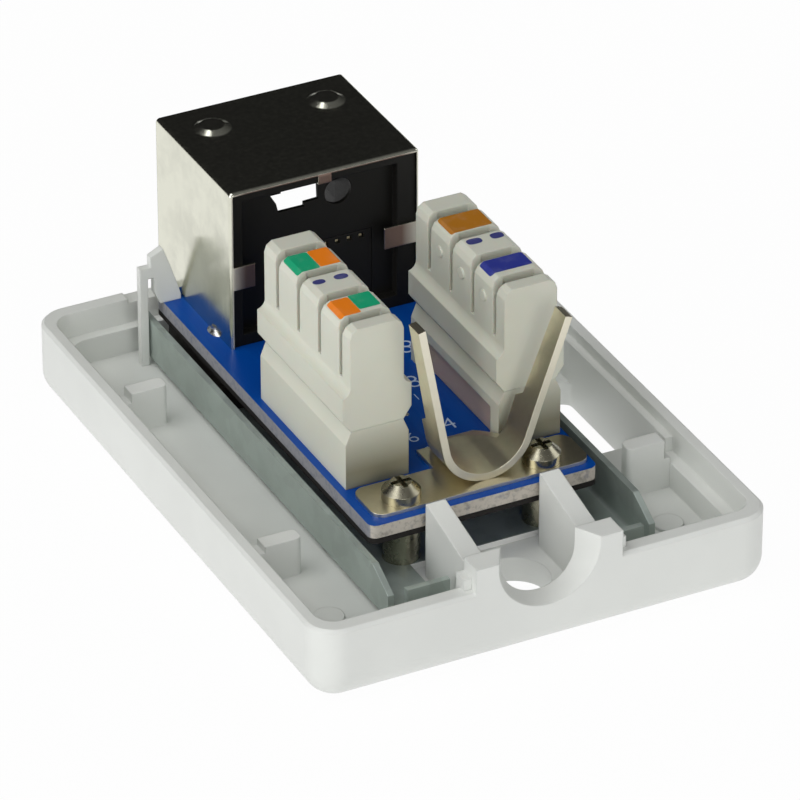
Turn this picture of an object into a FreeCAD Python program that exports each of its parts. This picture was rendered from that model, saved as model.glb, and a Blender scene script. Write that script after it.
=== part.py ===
"""Surface mount jack box with its cover off: moulded base, steel channel, shielded jack board.

Millimetres. +Z is up, +Y points towards the jack's port, and the origin is the middle of the
base's underside. A size called SETBACK lies that far forward of the port's face. One called INSET
lies that far inside the end of the piece that carries it.
"""
import FreeCAD, Part

import os
from math import cos, radians, sin, sqrt

Vector = FreeCAD.Vector

# Sizes that serve every piece
TINY = 1e-4
BEYOND = 1.0                   # how far a cutter runs past the face that it opens
FIT = 0.05                     # gap on each side of a pushed-together plastic fit

# Moulded base: tray
BASE_WIDTH = 38.0
BASE_LENGTH = 51.2
BASE_HEIGHT = 6.45
BASE_CORNER_RADIUS = 2.4
BASE_EDGE_RADIUS = 2.2
RIM_BEVEL = 0.25
FLOOR_THICKNESS = 2.1
SIDE_WALL = 1.05
END_WALL = 1.35
LEDGE_HEIGHT = 4.3             # top of the step along the walls, above the underside
SIDE_LEDGE = 1.0
END_LEDGE = 0.85
INNER_CORNER_RADIUS = 1.6
RIM_DIP_WIDTH = 22.6           # lowered length of the rear rim, under the jack
RIM_DIP = 0.35

# Moulded base: ribs that the cover lands on
RIB_THICKNESS = 1.45
RIB_LENGTH = 3.1
RIB_ROUND = 0.5                # radius of the free end's upright corners
RIB_ROOT = 0.5                 # low web between a rib and the wall
RIB_ROOT_HEIGHT = 4.75
REAR_RIB_SETBACK = 12.4
REAR_RIB_HEIGHT = 5.6
FRONT_RIB_INSET = 14.95
FRONT_RIB_HEIGHT = 5.3
RIGHT_RIB_INSET = 13.3
RIGHT_RIB_HEIGHT = 6.35

# Moulded base: openings in the floor and the pip beside them
SIDE_OPENING_WIDTH = 5.1
SIDE_OPENING_TO_WALL = 0.65
SIDE_OPENING_SETBACK = 21.2
SIDE_OPENING_LENGTH = 10.8
SIDE_OPENING_RADIUS = 0.9
SILL_HEIGHT = 5.55             # narrow high ledge beside the side opening
FIXING_HOLE_DIAMETER = 5.6
FIXING_HOLE_X = 0.5
FIXING_HOLE_INSET = 6.6
PIP_DIAMETER = 2.35
PIP_HEIGHT = 0.25
PIP_TO_WALL = 3.65
PIP_INSET = 7.9

# Moulded base: cable saddle at the front
SADDLE_HEIGHT = 8.5
SADDLE_HALF_WIDTH = 6.1
SADDLE_DEPTH = 2.05
MOUTH_RADIUS = 4.25
MOUTH_CENTRE_Z = 8.06
NECK_RADIUS = 3.06
NECK_CENTRE_Z = 7.0
SADDLE_SHIFT_X = 0.25
CHEEK_INNER = 3.95
CHEEK_THICKNESS = 1.65
CHEEK_GAP = 0.4                # from a cheek's end to the board
CHEEK_LEVEL = 1.65             # length of each cheek's level front
CHEEK_FRONT_HEIGHT = 7.1       # its height, from which the top slopes up to the rear
SHOULDER_WIDTH = 0.65
SHOULDER_HEIGHT = 7.4
SHOULDER_LENGTH = 1.3

# Moulded base: snap hooks over the board's rear corners
HOOK_SETBACK = 4.5
HOOK_LENGTH = 0.65
HOOK_POST_X = 11.65            # outer face of the left post from the middle
HOOK_POST_THICKNESS = 0.65
HOOK_NOSE_X = 8.2
HOOK_INNER_X = 10.45
HOOK_ROOF_Z = 9.9
HOOK_STEP_Z = 10.85
HOOK_TOP_Z = 11.75
HOOK_STEP = 0.25               # step in the post's outer face below its top
HOOK_CROWN_X = 9.65            # highest point, where the nose curve starts
HOOK_CROWN_Z = 12.3
HOOK_NOSE_BULGE = 0.6
HOOK_TOE = 0.45                # upright end of the nose above the board
HOOK_HEEL_X = 0.5              # slope on the nose's inner lower edge
HOOK_HEEL_Z = 1.1

# Steel channel
STEEL = 0.5
CHANNEL_SHIFT_X = 0.35
CHANNEL_HALF_WIDTH = 11.2
CHANNEL_HEIGHT = 4.0
CHANNEL_SETBACK = 3.0
CHANNEL_INSET = 4.4
CHANNEL_BEND = 0.35            # inside radius of each bend
CHANNEL_NOSE = 2.6             # length over which each flange's front corner slopes down
CHANNEL_NOSE_DROP = 1.4
NOTCH_BEHIND_BOARD_FRONT = 0.87
NOTCH_HALF_WIDTH = 6.25
LIP_OUTER_X = 9.9
LIP_HEIGHT = 3.1
FLANGE_INSET = 0.6

# Circuit board
BOARD_TOP = 7.44
BOARD_THICKNESS = 1.6
BOARD_LEFT = -9.68
BOARD_RIGHT = 9.45
BOARD_FRONT_SETBACK = 40.95
BOARD_SETBACK = 2.9
BOARD_CORNER_RADIUS = 0.7

# Insulating spacer under the rear of the board
SPACER_HALF_WIDTH = 9.35
SPACER_FRONT_SETBACK = 14.3
SPACER_SETBACK = 4.6
SPACER_WALL = 1.1
SPACER_FLOOR = 0.8

# Jack
JACK_WIDTH = 16.25
JACK_SHIFT_X = 0.12
JACK_DEPTH = 13.42
JACK_INSET = 0.1               # from the tray's rear end to the port's face
JACK_TOP = 21.26
SHEET = 0.25
SHIELD_ROUND = 0.35
SHIELD_CORNER = 1.5            # rounded lower corner of each side at the port
DIMPLE_DIAMETER = 3.05
DIMPLE_RISE = 0.28
DIMPLE_FLAT = 1.9              # diameter of its flat top
DIMPLE_XS = (-4.65, 5.2)
DIMPLE_SETBACK = 3.2
LEFT_STRAP_X = -5.95           # inner end of each rear strap, then its heights
LEFT_STRAP_Z = (12.7, 14.7)
RIGHT_STRAP_X = 5.2
RIGHT_STRAP_Z = (13.0, 14.85)
TOP_STRAP_X = (-0.47, 0.63)
TOP_STRAP_DROP = 1.0
LEG_SETBACK = 10.2
LEG_WIDTH = 1.5
LEG_LENGTH = 3.0

# Jack: plug cavity and rear window
PORT_HALF_WIDTH = 5.9
PORT_BOTTOM = 9.0
PORT_HEIGHT = 6.75
LATCH_HALF_WIDTH = 3.15
LATCH_HEIGHT = 3.2
LATCH_STEP_HALF_WIDTH = 1.9
LATCH_STEP_HEIGHT = 1.2
CAVITY_DEPTH = 9.3
WINDOW_WALL = 0.35
REAR_RECESS_DEPTH = 0.8
REAR_RECESS_X = (-6.9, 6.4)
REAR_RECESS_TOP = 20.3
WINDOW = ((-4.4, 20.2), (-1.3, 20.2), (-1.2, 19.9), (-0.05, 19.9), (0.0, 18.38),
          (-1.2, 18.33), (-1.2, 18.0), (-3.4, 18.0), (-3.6, 18.85))
LOUPE_X = 1.7
LOUPE_Z = 18.65
LOUPE_DIAMETER = 2.3

# Jack: contact carrier and spring contacts
CONTACT_COUNT = 8
CONTACT_PITCH = 1.02
CONTACT_WIRE = 0.35
CARRIER_HALF_WIDTH = 4.45
CARRIER_DEPTH = 2.75
CARRIER_TOP = 14.6
CARRIER_FOOT = 8.5
CONTACT_BEND_Z = 14.0
CONTACT_INSET = 0.5            # from the carrier's rear face to a wire's middle
PEEP_WIDTH = 0.45              # small window in the carrier behind each wire
PEEP_Z = (13.95, 14.35)
CONTACT_TIP_SETBACK = 3.1
CONTACT_TIP_Z = 9.75
CONTACT_TIP_FOLD = 0.9         # turned-back end of each spring contact
TAIL_ROW_GAP = 2.0
TAIL_BELOW_BOARD = 1.0
PEG_DIAMETER = 3.1
PEG_X = 5.72
PEG_SETBACK = 7.3
PEG_LENGTH = 2.9

# Insulation displacement blocks
BLOCK_X = 6.42
BLOCK_SETBACK = 20.78
BLOCK_LENGTH = 14.68
BLOCK_FOOT = 2.63              # half widths of the cross-section, from the board up
BLOCK_WAIST = 2.18
BLOCK_FLANGE = 2.86
TOWER_HALF_WIDTH = 2.22
TOWER_CREST = 1.6              # half width of the flat top
FOOT_TOP = 11.3                # heights of the same cross-section
WAIST_Z = 12.4
FLANGE_BOTTOM = 13.4
FLANGE_TOP = 15.45
TOWER_FOOT = 16.15
TOWER_SHOULDER = 20.35
TOWER_TOP = 21.2
BLEND_SAG = 0.12               # how far the curve at a tower's foot keeps off its side
SHOULDER_BULGE = 0.12          # outward swell of the tower's rounded shoulder
SLOT_COUNT = 4
SLOT_PITCH = 3.6
FIRST_SLOT_SETBACK = 2.27
SLOT_WIDTH = 0.5
SLOT_BOTTOM = 16.5
LEAD_IN_WIDTH = 1.0
LEAD_IN_DEPTH = 1.3
POCKET_HALF_X = 1.3
BLOCK_PIP_DIAMETER = 0.9
BLOCK_PIP_Z = 19.1
BLOCK_PIP_RISE = 0.12
BASE_RECESS_TOP = 10.5
BASE_RECESS_DEPTH = 0.7
BASE_RECESS_SETBACK = 1.72
BASE_RECESS_LENGTH = 11.6
BLADE_THICKNESS = 0.4
BLADE_WIDTH = 1.8
BLADE_TOP = 19.4
FORK_GAP = 0.35
FORK_DEPTH = 4.2
FORK_MOUTH = 1.1
FORK_MOUTH_DEPTH = 0.8
BLADE_TAIL_WIDTH = 0.6

# Cable clamp: plate, sprung strap, screws and their round nuts
PLATE_THICKNESS = 0.3
PLATE_X = (-8.9, 9.25)
PLATE_INSET = 0.75
PLATE_DEPTH = 4.2
PLATE_CORNER = 1.0
TONGUE_X = (-2.0, 3.7)
TONGUE_LENGTH = 2.8
STRAP_THICKNESS = 0.6
STRAP_RADIUS = 3.85
STRAP_CENTRE_X = 0.95
LEFT_ARM_LEAN = 11.0           # degrees from upright
RIGHT_ARM_LEAN = 18.2
LEFT_ARM_LENGTH = 11.5
RIGHT_ARM_LENGTH = 10.3
STRAP_INSET = 0.9
STRAP_TRIM = 0.25              # how far the arms' front edges step in towards the tips
ARM_TIP_WIDTH = 1.5
ARM_WIDTH = 2.05
ARM_FOOT_WIDTH = 2.9
ARM_SHOULDER_Z = 12.6
ARM_FLARE_TOP = 9.2
ARM_FLARE_BOTTOM = 8.2
SCREW_XS = (-6.0, 5.8)
SCREW_INSET = 2.35
SCREW_SHANK_DIAMETER = 1.9
SCREW_HEAD_DIAMETER = 3.0
SCREW_HEAD_HEIGHT = 1.45
SCREW_HEAD_SHOULDER = 0.7      # depth of the sloping ring round the head's flat top
SCREW_RECESS_WIDTH = 0.4
SCREW_RECESS_LENGTH = 1.7
SCREW_RECESS_DEPTH = 0.7
SCREW_HOLE_DIAMETER = 2.1
NUT_DIAMETER = 2.9

# Places that follow from the sizes above
base_half_x = BASE_WIDTH / 2
base_half_y = BASE_LENGTH / 2
inner_half_x = base_half_x - SIDE_WALL
inner_half_y = base_half_y - END_WALL
jack_port_y = base_half_y - JACK_INSET
hook_front_y = jack_port_y - HOOK_SETBACK
channel_rear_y = jack_port_y - CHANNEL_SETBACK
board_rear = jack_port_y - BOARD_SETBACK
board_front = jack_port_y - BOARD_FRONT_SETBACK
spacer_front_y = jack_port_y - SPACER_FRONT_SETBACK
spacer_rear_y = jack_port_y - SPACER_SETBACK
jack_rear_y = jack_port_y - JACK_DEPTH
dimple_y = jack_port_y - DIMPLE_SETBACK
leg_y = jack_port_y - LEG_SETBACK
cavity_rear_y = jack_port_y - CAVITY_DEPTH
contact_tip_y = jack_port_y - CONTACT_TIP_SETBACK
peg_y = jack_port_y - PEG_SETBACK
block_rear_y = jack_port_y - BLOCK_SETBACK
rear_rib_y = jack_port_y - REAR_RIB_SETBACK
notch_front_y = board_front + NOTCH_BEHIND_BOARD_FRONT
plate_front_y = board_front + PLATE_INSET
plate_rear_y = plate_front_y + PLATE_DEPTH
tongue_rear_y = plate_rear_y + TONGUE_LENGTH
strap_front_y = plate_front_y + STRAP_INSET
screw_y = board_front + SCREW_INSET
first_slot_y = block_rear_y - FIRST_SLOT_SETBACK
channel_front_y = -base_half_y + CHANNEL_INSET
flange_start_y = channel_front_y + FLANGE_INSET
fixing_hole_y = -base_half_y + FIXING_HOLE_INSET
pip_y = -base_half_y + PIP_INSET
front_rib_y = -base_half_y + FRONT_RIB_INSET
right_rib_y = -base_half_y + RIGHT_RIB_INSET
side_opening_rear = jack_port_y - SIDE_OPENING_SETBACK
side_opening_right = inner_half_x - SIDE_OPENING_TO_WALL
base_recess_rear = block_rear_y - BASE_RECESS_SETBACK
pip_x = inner_half_x - PIP_TO_WALL
cheek_rear = board_front - CHEEK_GAP
board_bottom = BOARD_TOP - BOARD_THICKNESS
channel_top = FLOOR_THICKNESS + CHANNEL_HEIGHT
channel_bed = FLOOR_THICKNESS + STEEL
jack_half = JACK_WIDTH / 2
jack_left = JACK_SHIFT_X - jack_half
jack_right = JACK_SHIFT_X + jack_half
housing_rear = jack_rear_y + SHEET
housing_left = jack_left + SHEET + FIT
housing_right = jack_right - SHEET - FIT
housing_top = JACK_TOP - SHEET - FIT
carrier_rear = housing_rear + REAR_RECESS_DEPTH
contact_drop_y = carrier_rear + CONTACT_INSET
contact_tail_z = board_bottom - TAIL_BELOW_BOARD
contact_xs = [JACK_SHIFT_X + (i - (CONTACT_COUNT - 1) / 2) * CONTACT_PITCH
              for i in range(CONTACT_COUNT)]
slot_ys = [first_slot_y - i * SLOT_PITCH for i in range(SLOT_COUNT)]
plate_top = BOARD_TOP + PLATE_THICKNESS


def block(x0, x1, y0, y1, z0, z1, radius=0.0):
    """Rectangular block, its four upright edges rounded where a radius is given."""
    solid = Part.makeBox(x1 - x0, y1 - y0, z1 - z0, Vector(x0, y0, z0))
    if radius:
        upright = [e for e in solid.Edges if abs(e.tangentAt(e.FirstParameter).z) > 0.9]
        solid = solid.makeFillet(radius, upright)
    return solid


def rod(diameter, x, y, z0, z1):
    """Upright cylinder."""
    return Part.makeCylinder(diameter / 2, z1 - z0, Vector(x, y, z0))


def edges_at(solid, z):
    """Edges that lie flat at one height."""
    return [e for e in solid.Edges
            if abs(e.BoundBox.ZMin - z) < TINY and abs(e.BoundBox.ZMax - z) < TINY]


def outline(place, start, *steps):
    """Closed wire of straight steps (2 numbers) and arcs (through point and end, 4 numbers).

    place turns a pair of numbers into a point in space.
    """
    edges = []
    here = start
    for step in steps + (start,):
        end = step[-2:]
        if len(step) == 4:
            edges.append(Part.Arc(place(*here), place(*step[:2]), place(*end)).toShape())
        elif end != here:
            edges.append(Part.LineSegment(place(*here), place(*end)).toShape())
        here = end
    return Part.Wire(edges)


def prism_along_y(y0, y1, start, *steps):
    """Solid of an outline in X and Z that runs from y0 to y1."""
    wire = outline(lambda x, z: Vector(x, y0, z), start, *steps)
    return Part.Face(wire).extrude(Vector(0, y1 - y0, 0))


def prism_along_x(x0, x1, start, *steps):
    """Solid of an outline in Y and Z that runs from x0 to x1."""
    wire = outline(lambda y, z: Vector(x0, y, z), start, *steps)
    return Part.Face(wire).extrude(Vector(x1 - x0, 0, 0))


def prism_up(z0, z1, start, *steps):
    """Solid of an outline in X and Y that runs from z0 to z1."""
    wire = outline(lambda x, y: Vector(x, y, z0), start, *steps)
    return Part.Face(wire).extrude(Vector(0, 0, z1 - z0))


def mirrored(solid, middle=0.0):
    """The same solid on the other side of an upright plane across X."""
    return solid.mirror(Vector(middle, 0, 0), Vector(1, 0, 0))


def save(name, solid):
    """Write one piece, cleaned of leftover seams, as the file that carries its name."""
    solid = solid.removeSplitter()
    if solid.Volume < 0:
        solid.reverse()
    solid.exportStep("parts/" + name + ".step")


def trough(y, radius, centre_z):
    """Upright U outline across the saddle, round below and open above the saddle's top."""
    top = SADDLE_HEIGHT + BEYOND
    return outline(lambda x, z: Vector(x, y, z),
                   (-radius, top), (-radius, centre_z),
                   (0, centre_z - radius, radius, centre_z), (radius, top))


def wall_rib(side, y, height):
    """Rib on the floor beside a wall, with its low web to the wall; side is -1 or 1."""
    root = inner_half_x - SIDE_LEDGE
    tip = root - RIB_ROOT
    web = block(tip - TINY, root + TINY, y - RIB_THICKNESS / 2, y + RIB_THICKNESS / 2,
                FLOOR_THICKNESS - TINY, RIB_ROOT_HEIGHT)
    rib = block(tip - RIB_LENGTH, tip, y - RIB_THICKNESS / 2, y + RIB_THICKNESS / 2,
                FLOOR_THICKNESS - TINY, height)
    corners = [e for e in rib.Edges if abs(e.tangentAt(e.FirstParameter).z) > 0.9
               and e.BoundBox.XMax < tip - TINY]
    both = web.fuse(rib.makeFillet(RIB_ROUND, corners))
    return both if side > 0 else mirrored(both)


def snap_hook():
    """Left hook: post outside the channel, roof over it, nose on the board."""
    post_inner = HOOK_POST_X - HOOK_POST_THICKNESS
    ledge = HOOK_POST_X - HOOK_POST_THICKNESS - HOOK_STEP
    hook = prism_along_y(
        hook_front_y, hook_front_y + HOOK_LENGTH,
        (HOOK_POST_X, FLOOR_THICKNESS - TINY), (HOOK_POST_X, HOOK_STEP_Z),
        (ledge, HOOK_STEP_Z), (ledge, HOOK_TOP_Z), (HOOK_CROWN_X, HOOK_CROWN_Z),
        (HOOK_NOSE_X + HOOK_NOSE_BULGE, HOOK_ROOF_Z, HOOK_NOSE_X, BOARD_TOP + HOOK_TOE),
        (HOOK_NOSE_X, BOARD_TOP), (HOOK_INNER_X - HOOK_HEEL_X, BOARD_TOP),
        (HOOK_INNER_X, BOARD_TOP + HOOK_HEEL_Z), (HOOK_INNER_X, HOOK_ROOF_Z),
        (post_inner, HOOK_ROOF_Z), (post_inner, FLOOR_THICKNESS - TINY))
    return mirrored(hook)


def base_tray():
    """Moulded base: tray, ledges, ribs, floor openings, cable saddle and snap hooks."""
    tray = block(-base_half_x, base_half_x, -base_half_y, base_half_y, 0, BASE_HEIGHT,
                 BASE_CORNER_RADIUS)
    tray = tray.makeFillet(BASE_EDGE_RADIUS, edges_at(tray, 0))
    tray = tray.makeChamfer(RIM_BEVEL, edges_at(tray, BASE_HEIGHT))
    upper = block(-inner_half_x, inner_half_x, -inner_half_y, inner_half_y,
                  LEDGE_HEIGHT, BASE_HEIGHT + BEYOND, INNER_CORNER_RADIUS)
    lower_x = inner_half_x - SIDE_LEDGE
    lower_y = inner_half_y - END_LEDGE
    lower = block(-lower_x, lower_x, -lower_y, lower_y,
                  FLOOR_THICKNESS, LEDGE_HEIGHT + TINY, INNER_CORNER_RADIUS)
    rim_dip = block(-RIM_DIP_WIDTH / 2, RIM_DIP_WIDTH / 2, inner_half_y - BEYOND,
                    base_half_y + BEYOND, BASE_HEIGHT - RIM_DIP, BASE_HEIGHT + BEYOND)
    tray = tray.cut([upper, lower, rim_dip])

    sill_front = right_rib_y + RIB_THICKNESS / 2
    sill = block(lower_x, inner_half_x + TINY, sill_front, lower_y,
                 LEDGE_HEIGHT - TINY, SILL_HEIGHT)
    tray = tray.fuse(sill)
    tray = tray.cut(block(lower_x - BEYOND, side_opening_right, sill_front, lower_y - BEYOND,
                          FLOOR_THICKNESS, SILL_HEIGHT + TINY))
    ribs = [wall_rib(-1, rear_rib_y, REAR_RIB_HEIGHT),
            wall_rib(-1, front_rib_y, FRONT_RIB_HEIGHT),
            wall_rib(1, right_rib_y, RIGHT_RIB_HEIGHT)]
    pips = [rod(PIP_DIAMETER, side * pip_x, pip_y, FLOOR_THICKNESS - TINY,
                FLOOR_THICKNESS + PIP_HEIGHT) for side in (-1, 1)]
    hook = snap_hook()
    hooks = [hook, mirrored(hook, CHANNEL_SHIFT_X)]
    tray = tray.fuse(ribs + pips + hooks + saddle_walls())

    opening = block(side_opening_right - SIDE_OPENING_WIDTH, side_opening_right,
                    side_opening_rear - SIDE_OPENING_LENGTH, side_opening_rear,
                    -BEYOND, FLOOR_THICKNESS + TINY, SIDE_OPENING_RADIUS)
    hole = rod(FIXING_HOLE_DIAMETER, FIXING_HOLE_X, fixing_hole_y, -BEYOND,
               FLOOR_THICKNESS + TINY)
    front = -base_half_y
    throat = front + SADDLE_DEPTH
    mouth = Part.makeLoft([trough(front - TINY, MOUTH_RADIUS, MOUTH_CENTRE_Z),
                           trough(throat + TINY, NECK_RADIUS, NECK_CENTRE_Z)], True, True)
    passage = block(SADDLE_SHIFT_X - CHEEK_INNER, SADDLE_SHIFT_X + CHEEK_INNER,
                    throat, throat + SADDLE_DEPTH,
                    FLOOR_THICKNESS, SADDLE_HEIGHT + BEYOND)
    return tray.cut([opening, hole, mouth, passage])


def saddle_walls():
    """Upstand at the front, a cheek wall on each side of the cable and a shoulder on each."""
    front = -base_half_y
    rear = front + SADDLE_DEPTH
    upstand = block(-SADDLE_HALF_WIDTH, SADDLE_HALF_WIDTH, front, rear,
                    BASE_EDGE_RADIUS, SADDLE_HEIGHT)
    walls = [upstand]
    for side in (-1, 1):
        inner = SADDLE_SHIFT_X + side * CHEEK_INNER
        outer = inner + side * CHEEK_THICKNESS
        walls.append(prism_along_x(
            min(inner, outer), max(inner, outer),
            (rear - TINY, FLOOR_THICKNESS - TINY), (cheek_rear, FLOOR_THICKNESS - TINY),
            (cheek_rear, SADDLE_HEIGHT), (rear + CHEEK_LEVEL, CHEEK_FRONT_HEIGHT),
            (rear - TINY, CHEEK_FRONT_HEIGHT)))
        edge = side * SADDLE_HALF_WIDTH
        tip = edge + side * SHOULDER_WIDTH
        walls.append(block(min(edge, tip), max(edge, tip), rear - SHOULDER_LENGTH, rear,
                           FLOOR_THICKNESS, SHOULDER_HEIGHT))
    return walls


def shield_channel():
    """Folded steel channel under the board, notched for the saddle, with two front lips."""
    left = CHANNEL_SHIFT_X - CHANNEL_HALF_WIDTH
    right = CHANNEL_SHIFT_X + CHANNEL_HALF_WIDTH
    outer = block(left, right, channel_front_y, channel_rear_y, FLOOR_THICKNESS, channel_top)
    bends = [e for e in edges_at(outer, FLOOR_THICKNESS)
             if abs(e.tangentAt(e.FirstParameter).y) > 0.9]
    outer = outer.makeFillet(CHANNEL_BEND + STEEL, bends)
    inner = block(left + STEEL, right - STEEL, channel_front_y - BEYOND,
                  channel_rear_y + BEYOND, channel_bed, channel_top + BEYOND)
    bends = [e for e in edges_at(inner, channel_bed)
             if abs(e.tangentAt(e.FirstParameter).y) > 0.9]
    inner = inner.makeFillet(CHANNEL_BEND, bends)
    channel = outer.cut(inner)

    nose = prism_along_x(left - BEYOND, right + BEYOND,
                         (channel_front_y - BEYOND, channel_top + BEYOND),
                         (flange_start_y + CHANNEL_NOSE, channel_top + BEYOND),
                         (flange_start_y + CHANNEL_NOSE, channel_top),
                         (flange_start_y, channel_top - CHANNEL_NOSE_DROP),
                         (flange_start_y, channel_bed + CHANNEL_BEND),
                         (channel_front_y - BEYOND, channel_bed + CHANNEL_BEND))
    floor_end = block(left - BEYOND, right + BEYOND, channel_front_y - BEYOND,
                      flange_start_y, 0, channel_bed + CHANNEL_BEND + TINY)
    notch = block(-NOTCH_HALF_WIDTH + SADDLE_SHIFT_X, NOTCH_HALF_WIDTH + SADDLE_SHIFT_X,
                  channel_front_y - BEYOND, notch_front_y, 0, channel_bed + BEYOND)
    channel = channel.cut([nose, floor_end, notch])
    return channel.fuse([front_lip(side) for side in (-1, 1)])


def front_lip(side):
    """Lip turned up from the channel's floor at one side of the notch; side is -1 or 1."""
    inner = SADDLE_SHIFT_X + side * NOTCH_HALF_WIDTH
    outer = CHANNEL_SHIFT_X + side * LIP_OUTER_X
    bend_out = CHANNEL_BEND + STEEL
    rear = flange_start_y + TINY
    slack = CHANNEL_BEND * (1 - sqrt(0.5))
    slack_out = bend_out * (1 - sqrt(0.5))
    return prism_along_x(
        min(inner, outer), max(inner, outer),
        (rear + BEYOND, FLOOR_THICKNESS), (channel_front_y + bend_out, FLOOR_THICKNESS),
        (channel_front_y + slack_out, FLOOR_THICKNESS + slack_out,
         channel_front_y, FLOOR_THICKNESS + bend_out),
        (channel_front_y, FLOOR_THICKNESS + LIP_HEIGHT),
        (channel_front_y + STEEL, FLOOR_THICKNESS + LIP_HEIGHT),
        (channel_front_y + STEEL, channel_bed + CHANNEL_BEND),
        (channel_front_y + STEEL + slack, channel_bed + slack,
         channel_front_y + STEEL + CHANNEL_BEND, channel_bed),
        (rear + BEYOND, channel_bed))


def board_spacer():
    """Insulating tray between channel and board, hollow round the jack's pins and pegs."""
    spacer = block(-SPACER_HALF_WIDTH, SPACER_HALF_WIDTH, spacer_front_y, spacer_rear_y,
                   channel_bed, board_bottom)
    hollow = block(-SPACER_HALF_WIDTH + SPACER_WALL, SPACER_HALF_WIDTH - SPACER_WALL,
                   spacer_front_y + SPACER_WALL, spacer_rear_y - SPACER_WALL,
                   channel_bed + SPACER_FLOOR, board_bottom + BEYOND)
    return spacer.cut(hollow)


def contact_tail_y(index):
    """Row across the board that a jack contact's tail stands in."""
    return contact_drop_y + (TAIL_ROW_GAP if index % 2 else 0)


def circuit_board(tails):
    """Board with holes for pegs, shield legs and screws, closed round the soldered tails."""
    board = block(BOARD_LEFT, BOARD_RIGHT, board_front, board_rear, board_bottom, BOARD_TOP,
                  BOARD_CORNER_RADIUS)
    low = board_bottom - BEYOND
    high = BOARD_TOP + BEYOND
    holes = [rod(SCREW_HOLE_DIAMETER, x, screw_y, low, high) for x in SCREW_XS]
    for side in (-1, 1):
        holes.append(rod(PEG_DIAMETER + 2 * FIT, JACK_SHIFT_X + side * PEG_X, peg_y, low, high))
        leg = JACK_SHIFT_X + side * (jack_half - SHEET / 2)
        holes.append(block(leg - SHEET, leg + SHEET, leg_y - LEG_WIDTH / 2 - 2 * FIT,
                           leg_y + LEG_WIDTH / 2 + 2 * FIT, low, high))
    return board.cut(holes + tails)


def port_outline(grow):
    """Cutter steps for the plug's opening: wide body, latch channel and latch step."""
    bottom = PORT_BOTTOM - grow
    body = PORT_BOTTOM + PORT_HEIGHT + grow
    latch = body + LATCH_HEIGHT - LATCH_STEP_HEIGHT
    step = body + LATCH_HEIGHT
    wide = PORT_HALF_WIDTH + grow
    mid = LATCH_HALF_WIDTH + grow
    slim = LATCH_STEP_HALF_WIDTH + grow
    right = [(wide, bottom), (wide, body), (mid, body), (mid, latch), (slim, latch), (slim, step)]
    left = [(-x, z) for x, z in reversed(right)]
    return [(JACK_SHIFT_X + x, z) for x, z in right + left]


def jack_shield():
    """Thin shield: roof with dimples, sides with board legs, port frame and rear straps."""
    shell = block(jack_left, jack_right, jack_rear_y, jack_port_y, BOARD_TOP, JACK_TOP)
    rounded = [e for e in shell.Edges if e.BoundBox.ZMax > JACK_TOP - TINY
               and e.BoundBox.YMin < jack_port_y - TINY]
    shell = shell.makeFillet(SHIELD_ROUND, rounded)
    inside = block(jack_left + SHEET, jack_right - SHEET, housing_rear, jack_port_y - SHEET,
                   BOARD_TOP - BEYOND, JACK_TOP - SHEET)
    rear_open = block(jack_left + SHEET, jack_right - SHEET, jack_rear_y - BEYOND,
                      housing_rear + TINY, BOARD_TOP - BEYOND, JACK_TOP - SHEET)
    kept = [rear_strap(jack_left, LEFT_STRAP_X, *LEFT_STRAP_Z),
            rear_strap(RIGHT_STRAP_X, jack_right, *RIGHT_STRAP_Z),
            rear_strap(*TOP_STRAP_X, JACK_TOP - TOP_STRAP_DROP, JACK_TOP)]
    port = prism_along_y(jack_port_y - SHEET - BEYOND, jack_port_y + BEYOND, *port_outline(0))
    shell = shell.cut([inside, rear_open.cut(kept), port, side_corner_cutter()])

    added = [Part.makeCone(DIMPLE_DIAMETER / 2, DIMPLE_FLAT / 2, DIMPLE_RISE,
                           Vector(x, dimple_y, JACK_TOP)) for x in DIMPLE_XS]
    for side in (-1, 1):
        leg = JACK_SHIFT_X + side * (jack_half - SHEET / 2)
        added.append(block(leg - SHEET / 2, leg + SHEET / 2, leg_y - LEG_WIDTH / 2,
                           leg_y + LEG_WIDTH / 2, BOARD_TOP - LEG_LENGTH, BOARD_TOP + BEYOND))
    return shell.fuse(added)


def rear_strap(x0, x1, z0, z1):
    """Strip of the shield's rear face that stays."""
    return block(x0, x1, jack_rear_y - BEYOND, housing_rear + BEYOND, z0, z1)


def side_corner_cutter():
    """What rounds off each side's lower corner at the port."""
    centre_y = jack_port_y - SHIELD_CORNER
    corner = block(jack_left - BEYOND, jack_right + BEYOND, centre_y, jack_port_y + BEYOND,
                   BOARD_TOP - BEYOND, BOARD_TOP + SHIELD_CORNER)
    start = jack_left - 2 * BEYOND
    end = jack_right + 2 * BEYOND
    return corner.cut(Part.makeCylinder(SHIELD_CORNER, end - start,
                                        Vector(start, centre_y, BOARD_TOP + SHIELD_CORNER),
                                        Vector(1, 0, 0)))


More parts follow.
